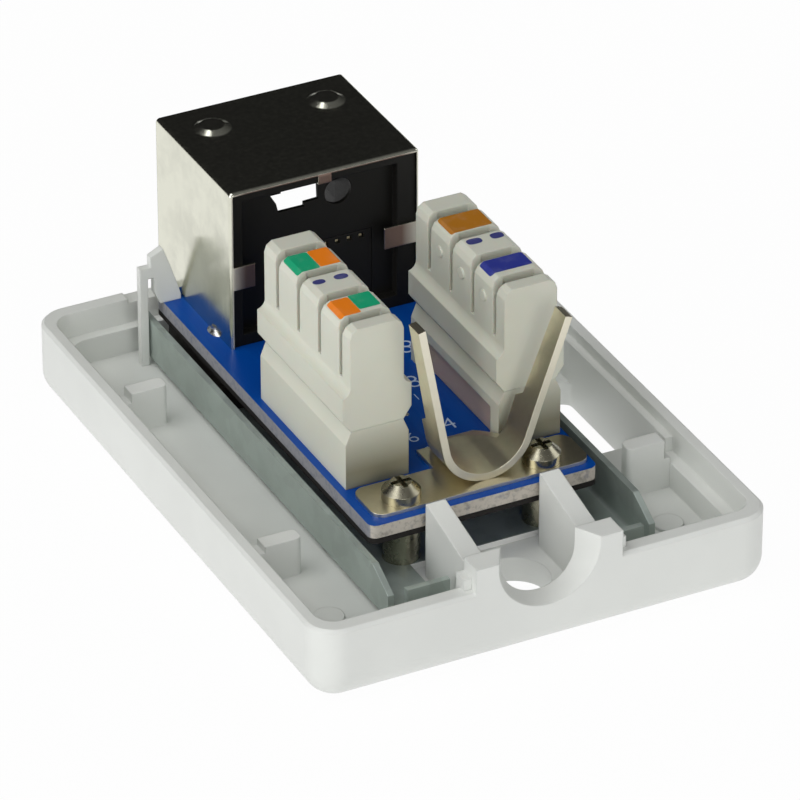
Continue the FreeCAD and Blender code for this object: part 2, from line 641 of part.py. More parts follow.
def jack_housing():
    """Plastic body of the jack: plug cavity, latch channel, rear window and two pegs."""
    housing = block(housing_left, housing_right, housing_rear, jack_port_y - SHEET,
                    BOARD_TOP, housing_top)
    cavity = prism_along_y(cavity_rear_y, jack_port_y + BEYOND, *port_outline(-FIT))
    recess = block(*REAR_RECESS_X, housing_rear - BEYOND, carrier_rear,
                   BOARD_TOP + BEYOND, REAR_RECESS_TOP)
    gallery = block(WINDOW[0][0], LOUPE_X + LOUPE_DIAMETER / 2,
                    carrier_rear + WINDOW_WALL, cavity_rear_y + TINY,
                    CARRIER_TOP + FIT, REAR_RECESS_TOP)
    window = prism_along_y(carrier_rear - BEYOND, carrier_rear + WINDOW_WALL + TINY, *WINDOW)
    loupe = Part.makeCylinder(LOUPE_DIAMETER / 2, WINDOW_WALL + 2 * BEYOND,
                              Vector(LOUPE_X, carrier_rear - BEYOND, LOUPE_Z),
                              Vector(0, 1, 0))
    seat_half = CARRIER_HALF_WIDTH + FIT
    carrier_seat = block(JACK_SHIFT_X - seat_half, JACK_SHIFT_X + seat_half,
                         housing_rear - BEYOND, carrier_rear + CARRIER_DEPTH + FIT,
                         BOARD_TOP - BEYOND, CARRIER_TOP + FIT)
    throat = block(JACK_SHIFT_X - CARRIER_HALF_WIDTH, JACK_SHIFT_X + CARRIER_HALF_WIDTH,
                   carrier_rear + CARRIER_DEPTH, cavity_rear_y + TINY,
                   PORT_BOTTOM, CARRIER_TOP + FIT)
    housing = housing.cut([cavity, recess, gallery, window, loupe, carrier_seat, throat])
    pegs = [rod(PEG_DIAMETER, JACK_SHIFT_X + side * PEG_X, peg_y, BOARD_TOP - PEG_LENGTH,
                BOARD_TOP + TINY) for side in (-1, 1)]
    return housing.fuse(pegs)


def spring_contact(index):
    """Square wire from the board up the carrier's back, over it and down into the cavity."""
    x = contact_xs[index]
    half = CONTACT_WIRE / 2
    drop = contact_drop_y
    tail = contact_tail_y(index)
    knee = CARRIER_FOOT - CONTACT_WIRE
    start = Vector(x, tail, contact_tail_z)
    points = [start]
    if tail > drop:
        points += [Vector(x, tail, knee), Vector(x, drop, knee)]
    points += [Vector(x, drop, CONTACT_BEND_Z), Vector(x, carrier_rear + CARRIER_DEPTH / 2,
                                                      CARRIER_TOP - half),
               Vector(x, contact_tip_y, CONTACT_TIP_Z),
               Vector(x, contact_tip_y - CONTACT_TIP_FOLD, CONTACT_TIP_Z - half)]
    path = Part.makePolygon(points)
    corner = Vector(-half, -half, 0)
    section = Part.makePolygon([start + corner, start + Vector(half, -half, 0),
                                start + Vector(half, half, 0), start + Vector(-half, half, 0),
                                start + corner])
    return path.makePipeShell([section], True, True, 1)


def contact_carrier(contacts):
    """Comb round the spring contacts, with a small window behind each."""
    carrier = block(JACK_SHIFT_X - CARRIER_HALF_WIDTH, JACK_SHIFT_X + CARRIER_HALF_WIDTH,
                    carrier_rear, carrier_rear + CARRIER_DEPTH, CARRIER_FOOT, CARRIER_TOP)
    peeps = [block(x - PEEP_WIDTH / 2, x + PEEP_WIDTH / 2, carrier_rear - BEYOND,
                   contact_drop_y, *PEEP_Z) for x in contact_xs]
    return carrier.cut(contacts + peeps)


def block_outline(*corners):
    """Symmetrical cross-section of a block from (half width, height) corners, low to high."""
    right = [(BLOCK_X + half, z) for half, z in corners]
    left = [(BLOCK_X - half, z) for half, z in reversed(corners)]
    return right + left


def idc_base():
    """Lower half of the right block, with the recess that faces the middle of the board."""
    front = block_rear_y - BLOCK_LENGTH
    base = prism_along_y(front, block_rear_y, *block_outline(
        (BLOCK_FOOT, BOARD_TOP), (BLOCK_FOOT, FOOT_TOP), (BLOCK_WAIST, WAIST_Z)))
    inner = BLOCK_X - BLOCK_FOOT
    recess = block(inner - BEYOND, inner + BASE_RECESS_DEPTH,
                   base_recess_rear - BASE_RECESS_LENGTH, base_recess_rear,
                   BOARD_TOP - BEYOND, BASE_RECESS_TOP)
    return base.cut([recess] + blade_seats(BOARD_TOP - BEYOND, WAIST_Z + BEYOND))


def blade_seats(z0, z1):
    """Cutters for the slits that the contacts stand in."""
    return [block(BLOCK_X - BLADE_THICKNESS / 2, BLOCK_X + BLADE_THICKNESS / 2,
                  y - BLADE_WIDTH / 2, y + BLADE_WIDTH / 2, z0, z1) for y in slot_ys]


def idc_top():
    """Upper half of the right block: flange, five towers and the slots between them."""
    front = block_rear_y - BLOCK_LENGTH
    blend_x = TOWER_HALF_WIDTH + BLEND_SAG
    blend_z = (TOWER_FOOT + FLANGE_TOP) / 2
    shoulder_x = (TOWER_HALF_WIDTH + TOWER_CREST) / 2 + SHOULDER_BULGE
    shoulder_z = (TOWER_SHOULDER + TOWER_TOP) / 2 + SHOULDER_BULGE
    right = [(BLOCK_X + BLOCK_WAIST, WAIST_Z), (BLOCK_X + BLOCK_FLANGE, FLANGE_BOTTOM),
             (BLOCK_X + BLOCK_FLANGE, FLANGE_TOP),
             (BLOCK_X + blend_x, blend_z, BLOCK_X + TOWER_HALF_WIDTH, TOWER_FOOT),
             (BLOCK_X + TOWER_HALF_WIDTH, TOWER_SHOULDER), (BLOCK_X + shoulder_x, shoulder_z),
             (BLOCK_X + TOWER_CREST, TOWER_TOP)]
    left = [(BLOCK_X - TOWER_CREST, TOWER_TOP), (BLOCK_X - shoulder_x, shoulder_z),
            (BLOCK_X - TOWER_HALF_WIDTH, TOWER_SHOULDER),
            (BLOCK_X - TOWER_HALF_WIDTH, TOWER_FOOT),
            (BLOCK_X - blend_x, blend_z, BLOCK_X - BLOCK_FLANGE, FLANGE_TOP),
            (BLOCK_X - BLOCK_FLANGE, FLANGE_BOTTOM), (BLOCK_X - BLOCK_WAIST, WAIST_Z)]
    top = prism_along_y(front, block_rear_y, *(right + left))
    cutters = blade_seats(WAIST_Z - BEYOND, BLADE_TOP + FIT)
    for y in slot_ys:
        cutters.append(wire_slot(y))
        cutters.append(block(BLOCK_X - POCKET_HALF_X, BLOCK_X + POCKET_HALF_X,
                             y - LEAD_IN_WIDTH / 2, y + LEAD_IN_WIDTH / 2,
                             SLOT_BOTTOM, TOWER_TOP + BEYOND))
    top = top.cut(cutters)
    pips = [Part.makeCylinder(BLOCK_PIP_DIAMETER / 2, 2 * BLOCK_PIP_RISE,
                              Vector(BLOCK_X - TOWER_HALF_WIDTH - BLOCK_PIP_RISE,
                                     y - SLOT_PITCH / 2, BLOCK_PIP_Z), Vector(1, 0, 0))
            for y in slot_ys[:-1]]
    return top.fuse(pips)


def wire_slot(y):
    """Narrow slot across the block, wider at its lead-in."""
    half = SLOT_WIDTH / 2
    wide = LEAD_IN_WIDTH / 2
    neck = TOWER_TOP - LEAD_IN_DEPTH
    reach = BLOCK_FLANGE + BEYOND
    return prism_along_x(BLOCK_X - reach, BLOCK_X + reach,
                         (y - half, SLOT_BOTTOM), (y + half, SLOT_BOTTOM), (y + half, neck),
                         (y + wide, TOWER_TOP), (y + wide, TOWER_TOP + BEYOND),
                         (y - wide, TOWER_TOP + BEYOND), (y - wide, TOWER_TOP),
                         (y - half, neck))


def idc_blade(y):
    """Forked contact in the right block, with its tail through the board."""
    half = BLADE_WIDTH / 2
    gap = FORK_GAP / 2
    mouth = FORK_MOUTH / 2
    tail = BLADE_TAIL_WIDTH / 2
    return prism_along_x(
        BLOCK_X - BLADE_THICKNESS / 2, BLOCK_X + BLADE_THICKNESS / 2,
        (y - tail, contact_tail_z), (y + tail, contact_tail_z), (y + tail, BOARD_TOP),
        (y + half, BOARD_TOP), (y + half, BLADE_TOP), (y + mouth, BLADE_TOP),
        (y + gap, BLADE_TOP - FORK_MOUTH_DEPTH), (y + gap, BLADE_TOP - FORK_DEPTH),
        (y - gap, BLADE_TOP - FORK_DEPTH), (y - gap, BLADE_TOP - FORK_MOUTH_DEPTH),
        (y - mouth, BLADE_TOP), (y - half, BLADE_TOP), (y - half, BOARD_TOP),
        (y - tail, BOARD_TOP))


def clamp_plate():
    """Thin plate under both screws, with a tongue below the strap."""
    plate = block(*PLATE_X, plate_front_y, plate_rear_y, BOARD_TOP, plate_top, PLATE_CORNER)
    tongue = block(*TONGUE_X, plate_rear_y - TINY, tongue_rear_y, BOARD_TOP, plate_top)
    return plate.fuse(tongue).cut([rod(SCREW_HOLE_DIAMETER, x, screw_y, BOARD_TOP - BEYOND,
                                       plate_top + BEYOND) for x in SCREW_XS])


def clamp_strap():
    """Sprung strap: round trough with two leaning arms that narrow towards their tips."""
    centre = (STRAP_CENTRE_X, plate_top + STRAP_RADIUS)

    def on_bend(radius, angle):
        """Point on the bend, from straight down, positive to the right."""
        return (centre[0] + radius * sin(angle), centre[1] - radius * cos(angle))

    def tip(radius, side, lean, length):
        """End of an arm that leaves the bend tangentially."""
        root = on_bend(radius, side * (radians(90) - lean))
        return (root[0] + side * length * sin(lean), root[1] + length * cos(lean))

    lean_l = radians(LEFT_ARM_LEAN)
    lean_r = radians(RIGHT_ARM_LEAN)
    inner_r = STRAP_RADIUS - STRAP_THICKNESS
    sheet = prism_along_y(
        strap_front_y - STRAP_TRIM, tongue_rear_y,
        tip(STRAP_RADIUS, -1, lean_l, LEFT_ARM_LENGTH),
        on_bend(STRAP_RADIUS, -radians(90) + lean_l),
        (*on_bend(STRAP_RADIUS, 0), *on_bend(STRAP_RADIUS, radians(90) - lean_r)),
        tip(STRAP_RADIUS, 1, lean_r, RIGHT_ARM_LENGTH),
        tip(inner_r, 1, lean_r, RIGHT_ARM_LENGTH),
        on_bend(inner_r, radians(90) - lean_r),
        (*on_bend(inner_r, 0), *on_bend(inner_r, -radians(90) + lean_l)),
        tip(inner_r, -1, lean_l, LEFT_ARM_LENGTH))
    top = plate_top + STRAP_RADIUS + max(LEFT_ARM_LENGTH, RIGHT_ARM_LENGTH) + BEYOND
    reach = STRAP_RADIUS + LEFT_ARM_LENGTH
    blank = prism_along_x(
        STRAP_CENTRE_X - reach, STRAP_CENTRE_X + reach,
        (strap_front_y, plate_top - BEYOND), (tongue_rear_y, plate_top - BEYOND),
        (tongue_rear_y, ARM_FLARE_BOTTOM), (strap_front_y + ARM_FOOT_WIDTH, ARM_FLARE_TOP),
        (strap_front_y + ARM_FOOT_WIDTH, ARM_SHOULDER_Z),
        (strap_front_y + ARM_WIDTH, ARM_SHOULDER_Z + STRAP_THICKNESS),
        (strap_front_y - STRAP_TRIM + ARM_TIP_WIDTH, top), (strap_front_y - STRAP_TRIM, top),
        (strap_front_y, ARM_SHOULDER_Z))
    return sheet.common(blank)


def clamp_screw(x):
    """Pan head screw with a cross recess, through plate and board into its nut."""
    top = plate_top + SCREW_HEAD_HEIGHT
    shank = rod(SCREW_SHANK_DIAMETER, x, screw_y, channel_bed + STEEL, plate_top + TINY)
    head = rod(SCREW_HEAD_DIAMETER, x, screw_y, plate_top, top)
    head = head.makeChamfer(SCREW_HEAD_SHOULDER, edges_at(head, top))
    long_half = SCREW_RECESS_LENGTH / 2
    slim_half = SCREW_RECESS_WIDTH / 2
    recess = [block(x - along, x + along, screw_y - across, screw_y + across,
                    top - SCREW_RECESS_DEPTH, top + BEYOND)
              for along, across in ((long_half, slim_half), (slim_half, long_half))]
    return shank.fuse(head).cut(recess)


def clamp_nut(x):
    """Tall round nut between channel and board that a screw bites into."""
    nut = rod(NUT_DIAMETER, x, screw_y, channel_bed, board_bottom)
    return nut.cut(rod(SCREW_SHANK_DIAMETER, x, screw_y, channel_bed - BEYOND,
                       board_bottom + BEYOND))


os.makedirs("parts", exist_ok=True)
spring_contacts = [spring_contact(i) for i in range(CONTACT_COUNT)]
right_blades = [idc_blade(y) for y in slot_ys]
left_blades = [mirrored(blade) for blade in right_blades]
save("base_tray", base_tray())
save("shield_channel", shield_channel())
save("board_spacer", board_spacer())
save("circuit_board", circuit_board(spring_contacts + left_blades + right_blades))
save("jack_shield", jack_shield())
save("jack_housing", jack_housing())
save("contact_carrier", contact_carrier(spring_contacts))
for number, contact in enumerate(spring_contacts, start=1):
    save("jack_contact_%d" % number, contact)
right_base = idc_base()
right_top = idc_top()
save("idc_base_right", right_base)
save("idc_base_left", mirrored(right_base))
save("idc_top_right", right_top)
save("idc_top_left", mirrored(right_top))
for place, blades in (("left", left_blades), ("right", right_blades)):
    for number, blade in enumerate(blades, start=1):
        save("idc_contact_%s_%d" % (place, number), blade)
save("clamp_plate", clamp_plate())
save("clamp_strap", clamp_strap())
for place, screw_x in zip(("left", "right"), SCREW_XS):
    save("clamp_screw_" + place, clamp_screw(screw_x))
    save("clamp_nut_" + place, clamp_nut(screw_x))
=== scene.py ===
"""Looks of a surface mount jack box with its cover off.

The CAD pieces are the fixed frame and keep their meshes. Every piece gets a procedural finish.
On the CAD pieces other than the board it also softens the edges, in the normals alone. The small
things that the solids leave out are added: the board's solder, tinned discs and figures, and the
colour marks on the termination blocks.
"""
import logging
import math
from dataclasses import dataclass
from enum import Enum
from typing import Iterable, Sequence

import bmesh
import bpy
from mathutils import Matrix, Vector


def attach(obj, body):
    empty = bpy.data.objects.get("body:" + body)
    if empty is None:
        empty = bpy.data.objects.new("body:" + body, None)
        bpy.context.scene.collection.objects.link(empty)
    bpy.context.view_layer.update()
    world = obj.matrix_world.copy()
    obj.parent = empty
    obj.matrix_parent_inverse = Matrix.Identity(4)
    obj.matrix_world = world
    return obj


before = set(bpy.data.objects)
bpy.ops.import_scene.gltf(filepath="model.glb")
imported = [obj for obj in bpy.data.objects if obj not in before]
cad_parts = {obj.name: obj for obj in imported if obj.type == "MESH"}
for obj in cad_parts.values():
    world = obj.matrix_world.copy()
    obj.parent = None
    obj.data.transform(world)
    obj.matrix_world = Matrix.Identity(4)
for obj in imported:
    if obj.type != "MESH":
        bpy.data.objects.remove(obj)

LOG = logging.getLogger("jack_box")
MM = 0.001
JACK_X = 0.12
CONTACT_PITCH = 1.02
BLOCK_X = 6.42
FORK_PITCH = 3.6
Colour = tuple[float, float, float]


class Side(Enum):
    """Which side of the board a piece stands on, seen along +Y."""

    LEFT = -1
    RIGHT = 1


class Mark(Enum):
    """Colours of the conductor marks printed on the termination blocks."""

    GREEN = (0.006, 0.36, 0.17)
    ORANGE = (0.86, 0.22, 0.006)
    BROWN = (0.42, 0.160, 0.008)
    BLUE = (0.022, 0.034, 0.27)
    DUSK = (0.045, 0.05, 0.20)


def srgb(red: int, green: int, blue: int) -> Colour:
    """Linear colour of an 8-bit display colour.

    Args:
        red: 0 to 255.
        green: 0 to 255.
        blue: 0 to 255.

    Returns:
        The linear colour.
    """
    def channel(value: int) -> float:
        """Linear value of one channel."""
        part = value / 255
        return part / 12.92 if part <= 0.04045 else ((part + 0.055) / 1.055) ** 2.4
    return channel(red), channel(green), channel(blue)


class Shader:
    """A material's node tree, built by short calls."""

    BEVEL_SAMPLES = 6

    def __init__(self, name: str) -> None:
        """Start an empty material with an output node.

        Args:
            name: Name of the material.
        """
        self.material = bpy.data.materials.new(name)
        self.material.use_nodes = True
        self.tree = self.material.node_tree
        self.tree.nodes.clear()
        self.output = self.tree.nodes.new("ShaderNodeOutputMaterial")
        self.coordinates = self.tree.nodes.new("ShaderNodeTexCoord").outputs["Object"]

    def add(self, kind: str, settings: dict | None = None, **inputs: object) -> bpy.types.Node:
        """Add a node.

        Args:
            kind: Blender's name for the node, without the ShaderNode prefix.
            settings: The node's own options.
            inputs: Socket values or links. Spaces in socket names are written as underscores,
                and i with a number picks a socket by its place.

        Returns:
            The new node.
        """
        node = self.tree.nodes.new("ShaderNode" + kind)
        for key, value in (settings or {}).items():
            setattr(node, key, value)
        for key, value in inputs.items():
            socket = node.inputs[int(key[1:])] if key[0] == "i" and key[1:].isdigit() \
                else node.inputs[key.replace("_", " ")]
            if isinstance(value, bpy.types.NodeSocket):
                self.tree.links.new(value, socket)
            else:
                socket.default_value = value
        return node

    def placed(self, scale: Sequence[float]) -> bpy.types.NodeSocket:
        """Object coordinates stretched by so many repeats per metre along each axis."""
        return self.add("Mapping", Vector=self.coordinates, Scale=tuple(scale)).outputs[0]

    def noise(self, scale: float, detail: float = 4.0, roughness: float = 0.55,
              vector: bpy.types.NodeSocket | None = None) -> bpy.types.NodeSocket:
        """Noise value over the piece, in cells per metre or per unit of a given vector."""
        return self.add("TexNoise", Vector=vector or self.coordinates, Scale=scale,
                        Detail=detail, Roughness=roughness).outputs["Fac"]

    def ramp(self, value: bpy.types.NodeSocket, low: float, high: float,
             to_low: float = 0.0, to_high: float = 1.0) -> bpy.types.NodeSocket:
        """Value stretched from one range to another and clamped."""
        return self.add("MapRange", Value=value, i1=low, i2=high, i3=to_low,
                        i4=to_high).outputs[0]

    def math(self, operation: str, first: object, second: object = 0.0) -> bpy.types.NodeSocket:
        """Result of a sum on one or two values."""
        return self.add("Math", {"operation": operation}, i0=first, i1=second).outputs[0]

    def blend(self, factor: object, first: object, second: object) -> bpy.types.NodeSocket:
        """Colour between two colours.

        Args:
            factor: 0 gives the first colour, 1 the second.
            first: Colour or socket.
            second: Colour or socket.

        Returns:
            The mixed colour.
        """
        def full(colour: object) -> object:
            """Colour with an alpha, or the socket itself."""
            return (*colour, 1.0) if isinstance(colour, tuple) else colour
        node = self.add("Mix", {"data_type": "RGBA"})
        for index, value in ((0, factor), (6, full(first)), (7, full(second))):
            if isinstance(value, bpy.types.NodeSocket):
                self.tree.links.new(value, node.inputs[index])
            else:
                node.inputs[index].default_value = value
        return node.outputs[2]

    def bump(self, height: bpy.types.NodeSocket, distance: float, strength: float = 1.0,
             normal: bpy.types.NodeSocket | None = None) -> bpy.types.NodeSocket:
        """Normal disturbed by a height.

        Args:
            height: Height between 0 and 1.
            distance: Depth in metres of the full height.
            strength: How much of it shows.
            normal: Normal to build on.

        Returns:
            The new normal.
        """
        node = self.add("Bump", Height=height, Distance=distance, Strength=strength)
        if normal is not None:
            self.tree.links.new(normal, node.inputs["Normal"])
        return node.outputs[0]

    def facing(self, axis: str, low: float, high: float) -> bpy.types.NodeSocket:
        """1 where a surface faces along an axis either way, from the low cosine to the high."""
        parts = self.add("SeparateXYZ", Vector=self.add("NewGeometry").outputs["Normal"])
        return self.ramp(self.math("ABSOLUTE", parts.outputs[axis]), low, high)

    def within(self, axis: str, low: float, high: float) -> bpy.types.NodeSocket:
        """1 where the distance from an axis' zero lies between two values, on both sides.

        Args:
            axis: X, Y or Z.
            low: Least distance in metres.
            high: Greatest distance in metres.

        Returns:
            The mask.
        """
        place = self.add("SeparateXYZ", Vector=self.coordinates).outputs[axis]
        size = self.math("ABSOLUTE", place)
        return self.math("MULTIPLY", self.math("GREATER_THAN", size, low),
                         self.math("LESS_THAN", size, high))

    def rounded(self, radius: float) -> bpy.types.NodeSocket:
        """Normal that softens edges within a radius in metres."""
        return self.add("Bevel", {"samples": self.BEVEL_SAMPLES}, Radius=radius).outputs[0]

    def principled(self, **inputs: object) -> bpy.types.Material:
        """Finish the material with one surface shader.

        Args:
            inputs: Socket values or links of the surface shader.

        Returns:
            The material.
        """
        node = self.add("BsdfPrincipled", None, **inputs)
        self.tree.links.new(node.outputs[0], self.output.inputs["Surface"])
        return self.material


@dataclass(frozen=True)
class MouldedPlastic:
    """Injection moulded plastic: faint spark-eroded grain, slow colour drift, soft edges.

    Painted shade: one colour darkens the recessed low sides that face the middle of the box, and
    another darkens the low part of the front and the rear.
    """

    name: str
    colour: Colour
    roughness: float = 0.42
    grain: float = 2.0e-6
    drift: float = 0.04
    edge: float = 0.12 * MM
    glow: float = 0.0
    shine: float = 0.5
    recess_shade: Colour | None = None
    recess_shade_x: tuple[float, float] = (4.3 * MM, 4.6 * MM)
    recess_shade_top: float = 10.6 * MM
    foot: Colour | None = None
    foot_shade_z: tuple[float, float] = (8.8 * MM, 13.0 * MM)
    glow_depth: float = 0.6 * MM

    def make(self) -> bpy.types.Material:
        """Build the material.

        Returns:
            The material.
        """
        shader = Shader(self.name)
        slow = shader.noise(90.0, 3.0)
        fine = shader.noise(9000.0, 2.0, 0.6)
        darker = tuple(c * (1 - self.drift) for c in self.colour)
        lighter = tuple(min(1.0, c * (1 + 0.5 * self.drift)) for c in self.colour)
        colour = shader.blend(shader.ramp(slow, 0.35, 0.65), darker, lighter)
        # Painted shade on the recessed low sides that face the middle of the box.
        if self.recess_shade:
            recess_shade_mask = shader.math("MULTIPLY", shader.within("X", *self.recess_shade_x),
                                 shader.within("Z", 0.0, self.recess_shade_top))
            recess_shade_mask = shader.math("MULTIPLY", recess_shade_mask, shader.facing("X", 0.8, 0.9))
            colour = shader.blend(recess_shade_mask, colour, self.recess_shade)
        # Painted shade, darker towards the bottom of the faces that look to the front and the
        # rear.
        if self.foot:
            climb = shader.add("SeparateXYZ", Vector=shader.coordinates).outputs["Z"]
            low = shader.math("MULTIPLY", shader.ramp(climb, *self.foot_shade_z, 1.0, 0.0),
                              shader.facing("Y", 0.6, 0.9))
            colour = shader.blend(low, colour, self.foot)
        rough = shader.ramp(fine, 0.3, 0.7, self.roughness - 0.05, self.roughness + 0.06)
        normal = shader.bump(fine, self.grain, 0.6, shader.rounded(self.edge))
        settings = {"Base_Color": colour, "Roughness": rough, "Normal": normal,
                    "Specular_IOR_Level": self.shine}
        if self.glow:
            settings |= {"Subsurface_Weight": self.glow, "Subsurface_Scale": self.glow_depth}
        return shader.principled(**settings)


@dataclass(frozen=True)
class RolledSheet:
    """Plated sheet metal: rolling lines one way, slight waviness and handling smears.

    Painted reflection: one colour paints the faces that look along Y in one stretch of Y, and
    towards the outside a painted highlight colour takes over from it, on partly matte metal.
    """

    name: str
    colour: Colour
    roughness: float = 0.2
    lines: Sequence[float] = (40.0, 4000.0, 4000.0)
    line_depth: float = 0.6e-6
    wave: float = 10.0e-6
    smear: float = 0.12
    streak: float = 0.045
    edge: float = 0.06 * MM
    painted_reflection: Colour | None = None
    painted_reflection_y: tuple[float, float] = (0.0, 0.0)
    painted_reflection_rough: float = 0.12
    corner_highlight: Colour | None = None
    corner_highlight_x: tuple[float, float] = (0.0, 0.0)
    corner_highlight_dull: float = 0.7
    smear_tone: float = 0.86

    def make(self) -> bpy.types.Material:
        """Build the material.

        Returns:
            The material.
        """
        shader = Shader(self.name)
        rolled = shader.noise(1.0, 3.0, 0.6, shader.placed(self.lines))
        smears = shader.noise(320.0, 5.0, 0.62)
        waves = shader.noise(150.0, 1.5)
        tint = shader.blend(shader.ramp(smears, 0.42, 0.68),
                            self.colour, tuple(c * self.smear_tone for c in self.colour))
        rough = shader.math("ADD", shader.ramp(smears, 0.4, 0.7, 0.0, self.smear),
                            shader.ramp(rolled, 0.3, 0.7, self.roughness - self.streak,
                                        self.roughness + self.streak))
        normal = shader.bump(waves, self.wave, 1.0, shader.rounded(self.edge))
        normal = shader.bump(rolled, self.line_depth, 0.5, normal)
        metal = 1.0
        # Painted reflection on a band of faces that look along Y, turning into a painted
        # highlight towards the outside.
        if self.painted_reflection:
            reflection_band = shader.math("MULTIPLY", shader.facing("Y", 0.8, 0.9),
                                shader.within("Y", *self.painted_reflection_y))
            painted_tone = self.painted_reflection
            if self.corner_highlight:
                across = shader.add("SeparateXYZ", Vector=shader.coordinates).outputs["X"]
                outwards = shader.ramp(shader.math("ABSOLUTE", across), *self.corner_highlight_x)
                painted_tone = shader.blend(outwards, self.painted_reflection, self.corner_highlight)
                dull = shader.math("MULTIPLY", shader.math("MULTIPLY", outwards, reflection_band),
                                   self.corner_highlight_dull)
                metal = shader.math("SUBTRACT", 1.0, dull)
            tint = shader.blend(reflection_band, tint, painted_tone)
            rough = shader.math("ADD", rough, shader.math("MULTIPLY", reflection_band, self.painted_reflection_rough))
        return shader.principled(Base_Color=tint, Metallic=metal, Roughness=rough,
                                 Normal=normal)


@dataclass(frozen=True)
class ZincSheet:
    """Galvanised steel: dull grey-green zinc with faint flakes, scuffs and near-white low cut
    edges, partly bare steel and partly a painted glint.
    """

    name: str
    colour: Colour
    cut_glint: Colour = (0.95, 0.95, 0.93)
    bed_top: float = 2.7 * MM
    roughness: float = 0.46
    metal: float = 0.6
    flake_scale: float = 700.0
    flake_tone: float = 0.88
    stain_tone: float = 0.6
    stain_depth: float = 6.0e-6
    edge: float = 0.08 * MM

    def make(self) -> bpy.types.Material:
        """Build the material.

        Returns:
            The material.
        """
        shader = Shader(self.name)
        flakes = shader.add("TexVoronoi", {"feature": "F1"}, Vector=shader.coordinates,
                            Scale=self.flake_scale).outputs["Color"]
        grey = shader.add("RGBToBW", Color=flakes).outputs[0]
        stain = shader.noise(260.0, 5.0, 0.6)
        tint = shader.blend(shader.ramp(grey, 0.2, 0.8),
                            tuple(c * self.flake_tone for c in self.colour), self.colour)
        tint = shader.blend(shader.ramp(stain, 0.5, 0.75, 0.0, 0.35), tint,
                            tuple(c * self.stain_tone for c in self.colour))
        rough = shader.ramp(grey, 0.2, 0.8, self.roughness - 0.06, self.roughness + 0.08)
        # The low cut edges that face along Y turn near white and not metallic: partly bare
        # steel, partly a painted glint.
        sheared_glint = shader.math("MULTIPLY", shader.facing("Y", 0.8, 0.9),
                              shader.within("Z", 0.0, self.bed_top))
        tint = shader.blend(sheared_glint, tint, self.cut_glint)
        normal = shader.bump(stain, self.stain_depth, 0.6, shader.rounded(self.edge))
        metal = shader.math("MULTIPLY", shader.math("SUBTRACT", 1.0, sheared_glint), self.metal)
        return shader.principled(Base_Color=tint, Metallic=metal, Roughness=rough,
                                 Normal=normal)


@dataclass(frozen=True)
class BoardLacquer:
    """Blue lacquered laminate: copper shows through as slightly paler fields.

    The cut edges are pale with darker bruised patches. Painted shade darkens the edges that face
    along X and the lower part of every edge.
    """

    name: str
    lacquer: Colour
    over_copper: Colour
    laminate: Colour
    bruise_and_shade: Colour = (0.16, 0.18, 0.24)
    # Painted shade for the lower part of the edges.
    shade: Colour = (0.018, 0.016, 0.015)
    shade_top: float = 6.33 * MM
    side_shade: float = 0.7
    patch_bruise: float = 0.7
    speck_tone: float = 0.62
    speck_depth: float = 5.0e-6
    copper_depth: float = 14.0e-6
    track_scale: Sequence[float] = (900, 90, 10)
    edge_rough: float = 0.8
    face_rough: float = 0.34
    shine: float = 0.25

    def make(self) -> bpy.types.Material:
        """Build the material.

        Returns:
            The material.
        """
        shader = Shader(self.name)
        face = shader.facing("Z", 0.4, 0.6)
        cloudy = shader.noise(420.0, 4.0)
        tracks = shader.noise(1.0, 2.0, 0.4, shader.placed(self.track_scale))
        over = shader.math("MULTIPLY", shader.ramp(tracks, 0.52, 0.58),
                           shader.ramp(cloudy, 0.35, 0.65, 0.35, 0.8))
        blue = shader.blend(over, self.lacquer, self.over_copper)
        specks = shader.noise(2300.0, 4.0, 0.65)
        patches = shader.noise(900.0, 3.0, 0.6)
        edge = shader.blend(shader.ramp(specks, 0.48, 0.66), self.laminate,
                            tuple(c * self.speck_tone for c in self.laminate))
        edge = shader.blend(shader.ramp(patches, 0.56, 0.7, 0.0, self.patch_bruise), edge,
                            self.bruise_and_shade)
        # Painted shade on the edges that face along X.
        shaded_sides = shader.math("MULTIPLY", shader.facing("X", 0.8, 0.9), self.side_shade)
        edge = shader.blend(shaded_sides, edge, self.bruise_and_shade)
        # Painted shade on the lower part of every edge.
        edge = shader.blend(shader.within("Z", 0.0, self.shade_top), edge, self.shade)
        colour = shader.blend(face, edge, blue)
        rough = shader.ramp(face, 0.0, 1.0, self.edge_rough, self.face_rough)
        normal = shader.bump(shader.math("MULTIPLY", over, face), self.copper_depth, 0.6)
        normal = shader.bump(specks, self.speck_depth, 0.4, normal)
        return shader.principled(Base_Color=colour, Roughness=rough, Normal=normal,
                                 Specular_IOR_Level=self.shine)


@dataclass(frozen=True)
class PrintedInk:
    """Thin print on plastic or board: slightly broken coverage and a low sheen."""

    name: str
    colour: Colour
    roughness: float = 0.5
    worn: float = 0.06
    worn_tone: float = 0.75
    depth: float = 2.0e-6

    def make(self) -> bpy.types.Material:
        """Build the material.

        Returns:
            The material.
        """
        shader = Shader(self.name)
        patches = shader.noise(900.0, 4.0, 0.6)
        paler = tuple(c + (self.worn_tone - c) * self.worn for c in self.colour)
        colour = shader.blend(shader.ramp(patches, 0.5, 0.7), self.colour, paler)
        rough = shader.ramp(patches, 0.3, 0.7, self.roughness - 0.08, self.roughness + 0.1)
        return shader.principled(Base_Color=colour, Roughness=rough,
                                 Normal=shader.bump(patches, self.depth, 0.6))


